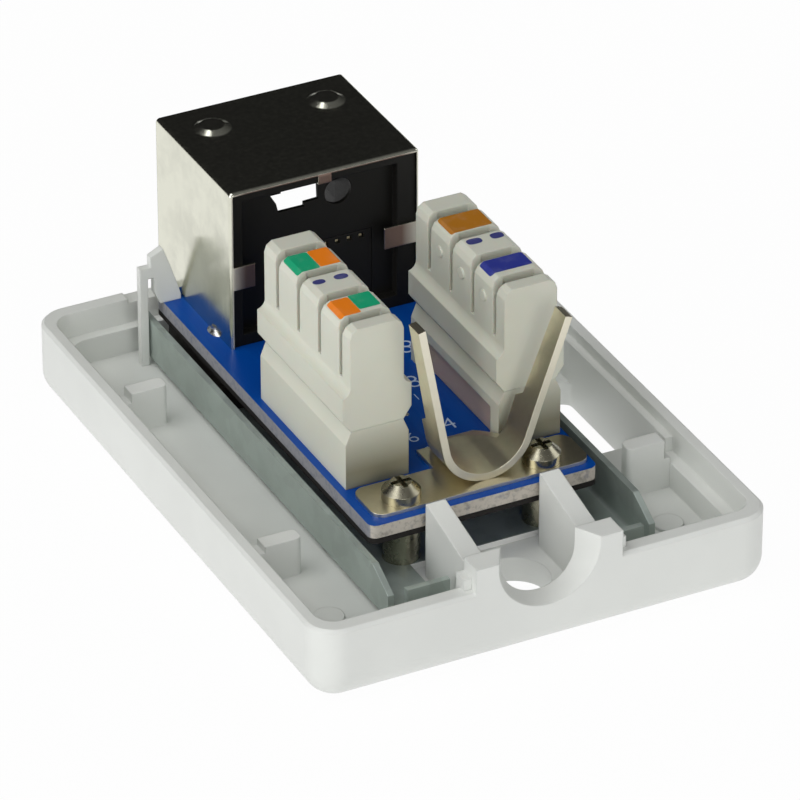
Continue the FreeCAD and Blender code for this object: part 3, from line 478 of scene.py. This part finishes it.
@dataclass(frozen=True)
class Solder:
    """Bright frozen solder: smooth with small dimples and dull patches."""

    name: str
    colour: Colour
    dull_tone: float = 0.75
    depth: float = 14.0e-6

    def make(self) -> bpy.types.Material:
        """Build the material.

        Returns:
            The material.
        """
        shader = Shader(self.name)
        dimples = shader.noise(2200.0, 3.0, 0.5)
        dull = shader.noise(900.0, 4.0, 0.6)
        return shader.principled(
            Base_Color=shader.blend(shader.ramp(dull, 0.4, 0.7), self.colour,
                                    tuple(c * self.dull_tone for c in self.colour)),
            Metallic=1.0, Roughness=shader.ramp(dull, 0.35, 0.7, 0.16, 0.42),
            Normal=shader.bump(dimples, self.depth, 0.6))


@dataclass(frozen=True)
class PaleFloor:
    """Plain pale floor that a camera and a mirror see as near white, almost without shadows."""

    name: str
    colour: Colour = (0.86, 0.865, 0.86)
    lift: float = 0.97
    glow: float = 0.55
    clouds: float = 0.02

    def make(self) -> bpy.types.Material:
        """Build the material.

        Returns:
            The material.
        """
        shader = Shader(self.name)
        cloudy = shader.noise(6.0, 3.0)
        tint = shader.blend(shader.ramp(cloudy, 0.3, 0.7, 0.0, self.clouds), self.colour,
                            (1.0, 1.0, 1.0))
        surface = shader.add("BsdfDiffuse", Color=tint)
        light = shader.add("Emission", Color=(1.0, 1.0, 1.0, 1.0), Strength=1.0)
        path = shader.add("LightPath")
        seen = shader.math("MAXIMUM", path.outputs["Is Camera Ray"],
                           path.outputs["Is Glossy Ray"])
        seen = shader.math("MAXIMUM", seen, path.outputs["Is Transmission Ray"])
        share = shader.math("MAXIMUM", shader.math("MULTIPLY", seen, self.lift), self.glow)
        mixed = shader.add("MixShader", i0=share)
        shader.tree.links.new(surface.outputs[0], mixed.inputs[1])
        shader.tree.links.new(light.outputs[0], mixed.inputs[2])
        shader.tree.links.new(mixed.outputs[0], shader.output.inputs["Surface"])
        return shader.material


def mesh_object(name: str, vertices: Iterable[Sequence[float]],
                faces: Iterable[Sequence[int]]) -> bpy.types.Object:
    """Mesh object in the row's frame, from millimetres.

    Args:
        name: Name of the piece.
        vertices: Corners in millimetres.
        faces: Vertex numbers of each face.

    Returns:
        The linked object.
    """
    mesh = bpy.data.meshes.new(name)
    mesh.from_pydata([Vector(v) * MM for v in vertices], [], [list(f) for f in faces])
    mesh.validate()
    piece = bpy.data.objects.new(name, mesh)
    bpy.context.scene.collection.objects.link(piece)
    return piece


def set_finish(piece: bpy.types.Object, material: bpy.types.Material) -> None:
    """Give a new piece its one material."""
    piece.data.materials.clear()
    piece.data.materials.append(material)


def dress_node(node: str, material: bpy.types.Material) -> None:
    """Give a CAD node its finish and leave its mesh as it is.

    Args:
        node: Name of the node.
        material: Its finish.
    """
    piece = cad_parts[node]
    if not piece.material_slots:
        piece.data.materials.append(material)
    for entry in piece.material_slots:
        entry.link = "OBJECT"
        entry.material = material
    LOG.info("dressed %s", node)


def announce(piece: bpy.types.Object) -> None:
    """Let a finished piece ride on the box.

    Args:
        piece: The piece.
    """
    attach(piece, "root")
    LOG.info("made %s", piece.name)


def smooth_by_angle(mesh: bpy.types.Mesh, degrees: float) -> None:
    """Shade a mesh smooth, with hard edges where faces meet sharply."""
    mesh.shade_smooth()
    mesh.set_sharp_from_angle(angle=math.radians(degrees))


class Sprinkle:
    """Geometry Nodes tree that stands one small turned shape on every point of a mesh.

    The shape is a cone with a hollow flank, as solder makes round a pin, or a flat disc.
    """

    SIDES = 20
    RINGS = 5
    SMOOTH_BELOW = 50.0

    def __init__(self, name: str, hollow: float) -> None:
        """Build the tree.

        Args:
            name: Name of the tree.
            hollow: How far the cone's flank is drawn in, 0 for a straight one.
        """
        self.tree = bpy.data.node_groups.new(name, "GeometryNodeTree")
        face = self.tree.interface
        face.new_socket(name="Geometry", in_out="INPUT", socket_type="NodeSocketGeometry")
        for label in ("Foot", "Tip", "Height", "Stretch", "Spread"):
            face.new_socket(name=label, in_out="INPUT", socket_type="NodeSocketFloat")
        face.new_socket(name="Seed", in_out="INPUT", socket_type="NodeSocketInt")
        face.new_socket(name="Finish", in_out="INPUT", socket_type="NodeSocketMaterial")
        face.new_socket(name="Geometry", in_out="OUTPUT", socket_type="NodeSocketGeometry")
        given = self.node("NodeGroupInput").outputs
        cone = self.node("GeometryNodeMeshCone", {"fill_type": "TRIANGLE_FAN"},
                         Vertices=self.SIDES, Side_Segments=self.RINGS,
                         Radius_Bottom=given["Foot"], Radius_Top=given["Tip"],
                         Depth=given["Height"])
        place = self.node("GeometryNodeInputPosition").outputs[0]
        parts = self.node("ShaderNodeSeparateXYZ", None, Vector=place).outputs
        share = self.sum("DIVIDE", parts["Z"], given["Height"])
        sag = self.sum("MULTIPLY", self.sum("MULTIPLY", share, self.sum("SUBTRACT", 1.0, share)),
                       4.0 * hollow)
        keep = self.sum("SUBTRACT", 1.0, sag)
        shaped = self.node("ShaderNodeCombineXYZ", None,
                           X=self.sum("MULTIPLY", self.sum("MULTIPLY", parts["X"], keep),
                                      given["Stretch"]),
                           Y=self.sum("MULTIPLY", parts["Y"], keep), Z=parts["Z"])
        moved = self.node("GeometryNodeSetPosition", None, Geometry=cone.outputs["Mesh"],
                          Position=shaped.outputs[0])
        low = self.sum("SUBTRACT", 1.0, given["Spread"])
        high = self.sum("ADD", 1.0, given["Spread"])
        chance = self.node("FunctionNodeRandomValue", {"data_type": "FLOAT"})
        self.tree.links.new(low, chance.inputs[2])
        self.tree.links.new(high, chance.inputs[3])
        self.tree.links.new(given["Seed"], chance.inputs["Seed"])
        stood = self.node("GeometryNodeInstanceOnPoints", None, Points=given["Geometry"],
                          Instance=moved.outputs[0], Scale=chance.outputs[1])
        solid = self.node("GeometryNodeRealizeInstances", None, Geometry=stood.outputs[0])
        coated = self.node("GeometryNodeSetMaterial", None, Geometry=solid.outputs[0],
                           Material=given["Finish"])
        end = self.node("NodeGroupOutput")
        self.tree.links.new(coated.outputs[0], end.inputs[0])

    def node(self, kind: str, settings: dict | None = None, **inputs: object) -> bpy.types.Node:
        """Add a node.

        Args:
            kind: Blender's name for the node.
            settings: The node's own options.
            inputs: Socket values or links, with underscores for spaces in socket names.

        Returns:
            The new node.
        """
        node = self.tree.nodes.new(kind)
        for key, value in (settings or {}).items():
            setattr(node, key, value)
        for key, value in inputs.items():
            socket = node.inputs[key.replace("_", " ")]
            if isinstance(value, bpy.types.NodeSocket):
                self.tree.links.new(value, socket)
            else:
                socket.default_value = value
        return node

    def sum(self, operation: str, first: object, second: object) -> bpy.types.NodeSocket:
        """Result of a sum on two values or sockets.

        Args:
            operation: Blender's name for the sum.
            first: First value or socket.
            second: Second value or socket.

        Returns:
            The result.
        """
        node = self.tree.nodes.new("ShaderNodeMath")
        node.operation = operation
        for socket, value in zip(node.inputs, (first, second)):
            if isinstance(value, bpy.types.NodeSocket):
                self.tree.links.new(value, socket)
            else:
                socket.default_value = value
        return node.outputs[0]

    def grow(self, name: str, points: Iterable[Sequence[float]], finish: bpy.types.Material,
             slot: str, **sizes: float) -> bpy.types.Object:
        """Run the tree on points and keep the result as a plain mesh, faces turned outwards.

        Args:
            name: Name of the piece.
            points: Places in millimetres.
            finish: Material of the shapes.
            slot: Not used.
            sizes: Foot, Tip and Height in millimetres, Stretch and Spread as ratios, Seed.

        Returns:
            The finished piece.
        """
        piece = mesh_object(name, points, [])
        modifier = piece.modifiers.new("sprinkle", "NODES")
        modifier.node_group = self.tree
        values = {key: size * MM if key in ("Foot", "Tip", "Height") else size
                  for key, size in sizes.items()} | {"Finish": finish}
        for item in self.tree.interface.items_tree:
            if item.in_out == "INPUT" and item.name in values:
                modifier[item.identifier] = values[item.name]
        depsgraph = bpy.context.evaluated_depsgraph_get()
        mesh = bpy.data.meshes.new_from_object(piece.evaluated_get(depsgraph))
        work = bmesh.new()
        work.from_mesh(mesh)
        bmesh.ops.recalc_face_normals(work, faces=work.faces)
        work.to_mesh(mesh)
        work.free()
        piece.modifiers.clear()
        piece.data = mesh
        set_finish(piece, finish)
        smooth_by_angle(mesh, self.SMOOTH_BELOW)
        announce(piece)
        return piece


@dataclass
class Base:
    """Moulded tray with the steel channel and the insulating spacer in it."""

    plastic: MouldedPlastic = MouldedPlastic("tray_plastic", srgb(222, 224, 220), 0.4,
                                             edge=0.16 * MM)
    zinc: ZincSheet = ZincSheet("channel_zinc", srgb(182, 193, 187))
    black: MouldedPlastic = MouldedPlastic("spacer_plastic", srgb(46, 41, 38), 0.4)

    def dress(self) -> None:
        """Finish the tray, the channel and the spacer."""
        dress_node("base_tray", self.plastic.make())
        dress_node("shield_channel", self.zinc.make())
        dress_node("board_spacer", self.black.make())


@dataclass
class Jack:
    """Shielded jack: bright shield, black body and carrier, gold spring contacts."""

    # The rear straps carry a brown painted reflection, which turns into a cream painted
    # highlight at the rounded outer corners, where the metal is made partly matte.
    shield: RolledSheet = RolledSheet("shield_tin", srgb(222, 222, 206), 0.18,
                                      lines=(3000.0, 3000.0, 200.0), line_depth=0.15e-6,
                                      wave=3.0e-6, smear=0.025, edge=0.16 * MM,
                                      painted_reflection=(0.29, 0.20, 0.165),
                                      painted_reflection_y=(11.9 * MM, 12.4 * MM), painted_reflection_rough=0.3,
                                      corner_highlight=(0.80, 0.77, 0.66),
                                      corner_highlight_x=(6.7 * MM, 8.0 * MM))
    body: MouldedPlastic = MouldedPlastic("jack_plastic", srgb(26, 25, 22), 0.5, shine=0.22)
    gold: RolledSheet = RolledSheet("contact_gilt", (0.95, 0.85, 0.60), 0.6,
                                    lines=(4000.0, 60.0, 4000.0), wave=2.0e-6)
    contact_count: int = 8

    def dress(self) -> None:
        """Finish the jack's pieces."""
        dress_node("jack_shield", self.shield.make())
        black = self.body.make()
        dress_node("jack_housing", black)
        dress_node("contact_carrier", black)
        gold = self.gold.make()
        for number in range(1, self.contact_count + 1):
            dress_node("jack_contact_%d" % number, gold)


@dataclass(frozen=True)
class Stroke:
    """One colour mark on a tower's top, in millimetres.

    Left and right count from the block's middle line, front and rear along Y of the box. The
    higher square is, the squarer the corners are.
    """

    side: Side
    left: float
    right: float
    front: float
    rear: float
    mark: Mark
    square: float = 16.0


@dataclass
class Blocks:
    """Pair of termination blocks with their forked contacts and colour marks."""

    plastic: MouldedPlastic = MouldedPlastic("block_plastic", srgb(210, 211, 197), 0.42,
                                             edge=0.14 * MM, glow=0.12)
    # Painted shade: the bases' copy of the block plastic, with a warm shade on the recessed
    # inner sides and a darker low front and rear.
    shaded: MouldedPlastic = MouldedPlastic("block_plastic_shaded", srgb(210, 211, 197), 0.42,
                                            edge=0.14 * MM, glow=0.12,
                                            recess_shade=srgb(214, 191, 175),
                                            foot=srgb(128, 126, 108))
    tin: RolledSheet = RolledSheet("blade_tin", srgb(200, 198, 184), 0.24,
                                   lines=(4000.0, 4000.0, 60.0), wave=2.0e-6)
    centre_x: float = BLOCK_X
    profile: tuple[tuple[float, float], ...] = ((0.0, 21.2), (1.6, 21.2), (2.03, 20.895),
                                                (2.22, 20.35), (2.22, 19.9))
    lift: float = 0.01
    stations: int = 15
    least_width: float = 0.02
    contact_count: int = 4
    strokes: tuple[Stroke, ...] = (
        Stroke(Side.LEFT, -2.0, -0.06, -0.62, 1.92, Mark.GREEN),
        Stroke(Side.LEFT, -0.04, 1.72, -0.55, 1.93, Mark.ORANGE),
        Stroke(Side.LEFT, -1.62, -0.62, -2.82, -2.16, Mark.DUSK, 2.5),
        Stroke(Side.LEFT, 0.14, 1.27, -2.86, -2.12, Mark.DUSK, 2.5),
        Stroke(Side.LEFT, -1.95, -0.20, -7.82, -5.40, Mark.ORANGE),
        Stroke(Side.LEFT, -0.18, 1.60, -7.42, -5.30, Mark.GREEN),
        Stroke(Side.RIGHT, -1.85, 1.66, -0.58, 1.93, Mark.BROWN),
        Stroke(Side.RIGHT, -1.48, -0.22, -2.74, -1.92, Mark.DUSK, 3.0),
        Stroke(Side.RIGHT, 0.55, 1.62, -2.72, -1.90, Mark.DUSK, 3.0),
        Stroke(Side.RIGHT, -1.98, 1.60, -7.22, -5.30, Mark.BLUE),
    )

    def height(self, offset: float) -> float:
        """Height of a tower's top surface.

        Args:
            offset: Distance from the tower's middle, in millimetres.

        Returns:
            The height in millimetres.
        """
        across = min(abs(offset), self.profile[-1][0])
        for (x0, z0), (x1, z1) in zip(self.profile, self.profile[1:]):
            if across <= x1:
                return z0 + (z1 - z0) * (across - x0) / max(x1 - x0, 1e-9)
        return self.profile[-1][1]

    def paint(self, name: str, stroke: Stroke, finish: bpy.types.Material) -> None:
        """Thin printed patch with rounded corners that follows the tower's top.

        Args:
            name: Piece name.
            stroke: Place and colour.
            finish: Its material.
        """
        middle = (stroke.left + stroke.right) / 2
        reach = (stroke.right - stroke.left) / 2
        centre_y = (stroke.front + stroke.rear) / 2
        half_y = (stroke.rear - stroke.front) / 2
        offsets = [middle + reach * math.sin(math.pi * (i / (self.stations - 1) - 0.5))
                   for i in range(self.stations)]
        offsets += [k for x, _ in self.profile for k in (-x, x)
                    if offsets[0] < k < offsets[-1]]
        vertices = []
        for offset in sorted(set(offsets)):
            share = min(1.0, abs(offset - middle) / reach)
            full = max(self.least_width, 1 - share ** stroke.square)
            wide = half_y * full ** (1 / stroke.square)
            steep = self.height(abs(offset)) < self.profile[1][1] - 1e-6
            out = math.copysign(self.lift if steep else 0.0, offset)
            vertices += [(stroke.side.value * self.centre_x + offset + out, centre_y + y,
                          self.height(offset) + self.lift) for y in (-wide, wide)]
        faces = [(i, i + 2, i + 3, i + 1) for i in range(0, len(vertices) - 2, 2)]
        piece = mesh_object(name, vertices, faces)
        set_finish(piece, finish)
        announce(piece)

    def dress(self) -> None:
        """Finish the blocks and their contacts and print the marks."""
        white = self.plastic.make()
        shade = self.shaded.make()
        tin = self.tin.make()
        for side in ("left", "right"):
            dress_node("idc_base_" + side, shade)
            dress_node("idc_top_" + side, white)
            for number in range(1, self.contact_count + 1):
                dress_node("idc_contact_%s_%d" % (side, number), tin)
        inks = {mark: PrintedInk("ink_" + mark.name.lower(), mark.value).make()
                for mark in Mark}
        for number, stroke in enumerate(self.strokes, start=1):
            self.paint("mark_%02d_%s" % (number, stroke.mark.name.lower()), stroke,
                       inks[stroke.mark])


@dataclass(frozen=True)
class Figure:
    """One printed figure on the board: place in millimetres, size and turn about Z."""

    text: str
    x: float
    y: float
    size: float
    turn: float


@dataclass
class Board:
    """Circuit board with its printed figures and its solder."""

    lacquer: BoardLacquer = BoardLacquer("board_lacquer", (0.0, 0.055, 0.31),
                                         (0.0, 0.066, 0.33), (0.55, 0.51, 0.45))
    ink: PrintedInk = PrintedInk("legend_ink", (0.50, 0.60, 0.76), worn=0.05)
    solder: Solder = Solder("solder", (0.62, 0.62, 0.60))
    thinning: float = 0.03
    figure_steps: int = 3
    top_z: float = 7.44
    bottom_z: float = 5.84
    print_lift: float = 0.012
    solder_sink: float = 0.02
    disc_sink: float = 0.005
    figures: tuple[Figure, ...] = (
        Figure("8", 4.235, 6.46, 2.7, -24.0), Figure("8", 2.42, 1.61, 2.5, 0.0),
        Figure("4", 2.12, -5.07, 2.3, 0.0), Figure("6", -1.26, -5.60, 2.0, 0.0),
        Figure("7", -0.90, -7.95, 1.9, 20.0), Figure("1", 1.67, -0.48, 1.4, 0.0),
    )
    contact_tails: tuple[tuple[float, float], ...] = tuple(
        (JACK_X + (i - 3.5) * CONTACT_PITCH, 15.63 if i % 2 else 13.63) for i in range(8))
    fork_tails: tuple[tuple[float, float], ...] = tuple(
        (side * BLOCK_X, 2.45 - FORK_PITCH * i) for side in (-1, 1) for i in range(4))
    shield_legs: tuple[tuple[float, float], ...] = ((-7.88, 15.3), (8.12, 15.3))
    vias: tuple[tuple[float, float], ...] = (
        (-1.47, -10.16), (3.55, 10.9), (3.3, 9.3), (4.1, 7.95), (1.3, 11.2), (-0.2, -2.3),
        (8.8, 9.0))

    def figure(self, number: int, shape: Figure, finish: bpy.types.Material) -> None:
        """Print one figure.

        Args:
            number: Its place in the row, for the name.
            shape: Its text, place, size and turn.
            finish: Its material.
        """
        curve = bpy.data.curves.new("figure_%d" % number, "FONT")
        curve.body = shape.text
        curve.size = shape.size * MM
        curve.align_x = "CENTER"
        curve.align_y = "CENTER"
        curve.offset = -self.thinning * MM
        curve.resolution_u = self.figure_steps
        source = bpy.data.objects.new("figure_source", curve)
        bpy.context.scene.collection.objects.link(source)
        bpy.context.view_layer.update()
        mesh = bpy.data.meshes.new_from_object(source)
        bpy.data.objects.remove(source)
        place = Vector((shape.x, shape.y, self.top_z + self.print_lift)) * MM
        mesh.transform(Matrix.Translation(place)
                       @ Matrix.Rotation(math.radians(shape.turn), 4, "Z"))
        piece = bpy.data.objects.new("board_figure_%d" % number, mesh)
        bpy.context.scene.collection.objects.link(piece)
        set_finish(piece, finish)
        announce(piece)

    def join(self, finish: bpy.types.Material) -> None:
        """Grow the solder: hollow cones round every tail and leg, flat discs on the vias.

        Args:
            finish: The solder's material.
        """
        cones = Sprinkle("solder_cones", 0.3)
        below = self.bottom_z + self.solder_sink
        above = self.top_z - self.solder_sink
        cones.grow("solder_contacts", [(x, y, below) for x, y in self.contact_tails], finish,
                   "contact_tin", Foot=0.44, Tip=0.22, Height=-0.55, Stretch=1.0,
                   Spread=0.08, Seed=3)
        cones.grow("solder_forks", [(x, y, below) for x, y in self.fork_tails], finish,
                   "contact_tin", Foot=0.72, Tip=0.30, Height=-0.8, Stretch=0.9,
                   Spread=0.08, Seed=5)
        cones.grow("solder_legs", [(x, y, above) for x, y in self.shield_legs], finish,
                   "contact_tin", Foot=1.0, Tip=0.42, Height=0.5, Stretch=0.62,
                   Spread=0.04, Seed=7)
        discs = Sprinkle("via_rings", 0.0)
        flush = self.top_z - self.disc_sink
        discs.grow("board_vias", [(x, y, flush) for x, y in self.vias], finish,
                   "contact_tin", Foot=0.26, Tip=0.2, Height=0.03, Stretch=1.0,
                   Spread=0.12, Seed=11)

    def dress(self) -> None:
        """Finish the board, print its figures and solder it."""
        dress_node("circuit_board", self.lacquer.make())
        ink = self.ink.make()
        for number, shape in enumerate(self.figures, start=1):
            self.figure(number, shape, ink)
        self.join(self.solder.make())


@dataclass
class Clamp:
    """Cable clamp: plate, sprung strap, screws and nuts."""

    # The strap's front edges carry a cream painted highlight, rougher than the rest.
    steel: RolledSheet = RolledSheet("clamp_bright_steel", srgb(240, 232, 206), 0.30,
                                     lines=(2600.0, 90.0, 2600.0), line_depth=0.05e-6,
                                     wave=3.0e-6, smear=0.03, streak=0.015,
                                     painted_reflection=(0.78, 0.74, 0.61),
                                     painted_reflection_y=(13.7 * MM, 14.8 * MM), painted_reflection_rough=0.12)
    nickel: RolledSheet = RolledSheet("screw_nickel", srgb(164, 160, 141), 0.24,
                                      lines=(2500.0, 2500.0, 2500.0), wave=4.0e-6)

    def dress(self) -> None:
        """Finish the clamp's pieces."""
        steel = self.steel.make()
        nickel = self.nickel.make()
        dress_node("clamp_plate", steel)
        dress_node("clamp_strap", steel)
        for side in ("left", "right"):
            dress_node("clamp_screw_" + side, nickel)
            dress_node("clamp_nut_" + side, nickel)


@dataclass
class Studio:
    """Pale floor, soft lamps, a dim room, and the camera at the photograph's angle."""

    camera_at: Sequence[float] = (-196.98, -393.79, 278.90)
    camera_turn: Sequence[float] = (58.34, 0.0, -26.63)
    lens: float = 304.4
    sensor: float = 36.0
    floor_half: float = 4.0
    floor_drop: float = 0.02
    lamps: tuple[tuple[str, Sequence[float], float, float], ...] = (
        ("left", (-0.75, -0.15, 0.28), 0.50, 2.7),
        ("front", (-0.08, -0.76, 0.24), 0.50, 2.05),
        ("top", (-0.30, 0.00, 0.76), 0.60, 2.7),
        ("right", (0.70, -0.10, 0.45), 0.40, 0.8),
    )
    aim: Sequence[float] = (0.0, 0.0, 0.008)
    clip: float = 20.0
    room_strength: float = 0.16
    room_range: Sequence[float] = (-0.3, 0.75, 1.0, 0.08)

    def floor(self) -> None:
        """Lay the floor."""
        half = self.floor_half / MM
        low = -self.floor_drop
        piece = mesh_object("floor", [(-half, -half, low), (half, -half, low),
                                      (half, half, low), (-half, half, low)], [(0, 1, 2, 3)])
        set_finish(piece, PaleFloor("floor_pale").make())

    def light(self) -> None:
        """Hang the lamps."""
        aim = Vector(self.aim)
        for name, place, size, power in self.lamps:
            lamp = bpy.data.lights.new("lamp_" + name, "AREA")
            lamp.shape = "SQUARE"
            lamp.size = size
            lamp.energy = power
            stand = bpy.data.objects.new("lamp_" + name, lamp)
            stand.location = place
            stand.rotation_euler = (aim - Vector(place)).to_track_quat("-Z", "Y").to_euler()
            bpy.context.scene.collection.objects.link(stand)

    def room(self) -> None:
        """Set the surroundings: dim, and darker towards the rear than at the front."""
        world = bpy.data.worlds.new("surroundings")
        bpy.context.scene.world = world
        world.use_nodes = True
        tree = world.node_tree
        tree.nodes.clear()
        links = tree.links
        walls = tree.nodes.new("ShaderNodeBackground")
        walls.inputs["Strength"].default_value = self.room_strength
        outlook = tree.nodes.new("ShaderNodeTexCoord")
        parts = tree.nodes.new("ShaderNodeSeparateXYZ")
        links.new(outlook.outputs["Generated"], parts.inputs[0])
        shade = tree.nodes.new("ShaderNodeMapRange")
        for index, value in enumerate(self.room_range, start=1):
            shade.inputs[index].default_value = value
        links.new(parts.outputs["Y"], shade.inputs[0])
        tint = tree.nodes.new("ShaderNodeCombineXYZ")
        for index in range(3):
            links.new(shade.outputs[0], tint.inputs[index])
        links.new(tint.outputs[0], walls.inputs["Color"])
        output = tree.nodes.new("ShaderNodeOutputWorld")
        links.new(walls.outputs[0], output.inputs["Surface"])

    def camera(self) -> None:
        """Stand the camera where the photograph was taken from."""
        lens = bpy.data.cameras.new("camera")
        lens.lens = self.lens
        lens.sensor_width = self.sensor
        lens.clip_end = self.clip
        stand = bpy.data.objects.new("camera", lens)
        stand.location = Vector(self.camera_at) * MM
        stand.rotation_euler = tuple(math.radians(a) for a in self.camera_turn)
        bpy.context.scene.collection.objects.link(stand)
        bpy.context.scene.camera = stand

    def build(self) -> None:
        """Set the whole studio up."""
        self.floor()
        self.light()
        self.room()
        self.camera()
        bpy.context.scene.view_settings.view_transform = "Standard"


def main() -> None:
    """Build and dress every sub-assembly."""
    logging.basicConfig(level=logging.INFO, format="%(name)s: %(message)s")
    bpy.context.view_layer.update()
    for assembly in (Base(), Jack(), Blocks(), Board(), Clamp()):
        LOG.info("dressing %s", type(assembly).__name__)
        assembly.dress()
    Studio().build()


if __name__ == "__main__":
    main()
